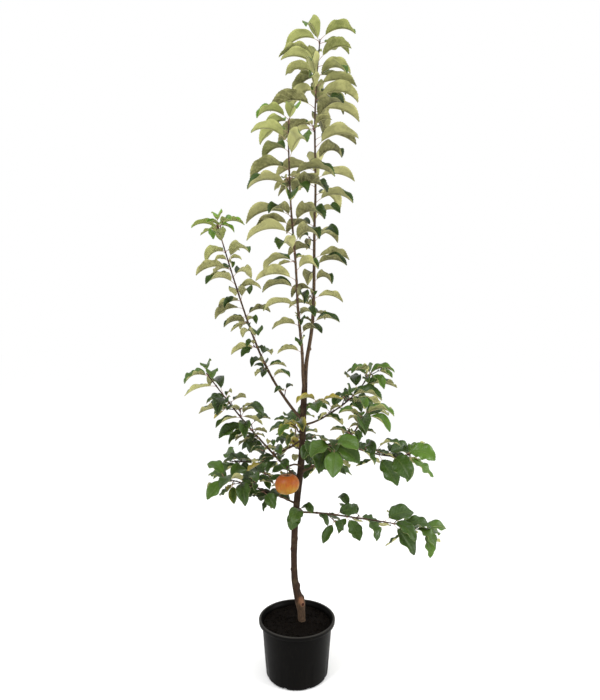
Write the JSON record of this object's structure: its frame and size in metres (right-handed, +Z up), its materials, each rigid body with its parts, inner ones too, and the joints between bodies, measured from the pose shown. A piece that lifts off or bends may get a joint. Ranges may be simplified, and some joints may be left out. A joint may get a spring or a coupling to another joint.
{
  "type": "potted fruit tree",
  "caption": "Slender dwarf fruit tree with leafy side boughs and a round orange fruit, standing in a plain black plastic pot filled with compost.",
  "frame": {"origin": "centre of the pot's flat underside, on the ground", "axes": "+Z up, +X to the viewer's right in the front view, +Y away from the viewer"},
  "size_m": [0.844, 0.5462, 2.0733],
  "materials": {
    "pot": "satin black moulded plastic",
    "compost": "dark crumbly compost",
    "bark": "dark brown finely furrowed bark",
    "leaf": "green leaves, slightly glossy above and dull beneath",
    "fruit": "smooth orange skin"
  },
  "bodies": {
    "root": {"pot": "pot", "compost": "compost", "trunk": "bark", "fruit_spur": "fruit", "bough_leader_back": "bark", "bough_leader_front": "bark", "bough_left_high": "bark", "bough_left_middle": "bark", "bough_left_low": "bark", "bough_left_back": "bark", "bough_right_high": "bark", "bough_right_middle": "bark", "bough_right_side": "bark", "bough_right_low": "bark", "bough_front": "bark", "bough_back": "bark", "bough_back_left": "bark", "bough_back_right": "bark", "leaves_leader_back": "leaf", "leaves_leader_front": "leaf", "leaves_left_high": "leaf", "leaves_left_middle": "leaf", "leaves_left_low": "leaf", "leaves_left_back": "leaf", "leaves_right_high": "leaf", "leaves_right_middle": "leaf", "leaves_right_side": "leaf", "leaves_right_low": "leaf", "leaves_front": "leaf", "leaves_back": "leaf", "leaves_back_left": "leaf", "leaves_back_right": "leaf", "leaves_spur_low": "leaf", "leaves_spur_left": "leaf", "leaves_spur_right": "leaf", "leaves_spur_back": "leaf"}
  },
  "joints": []
}
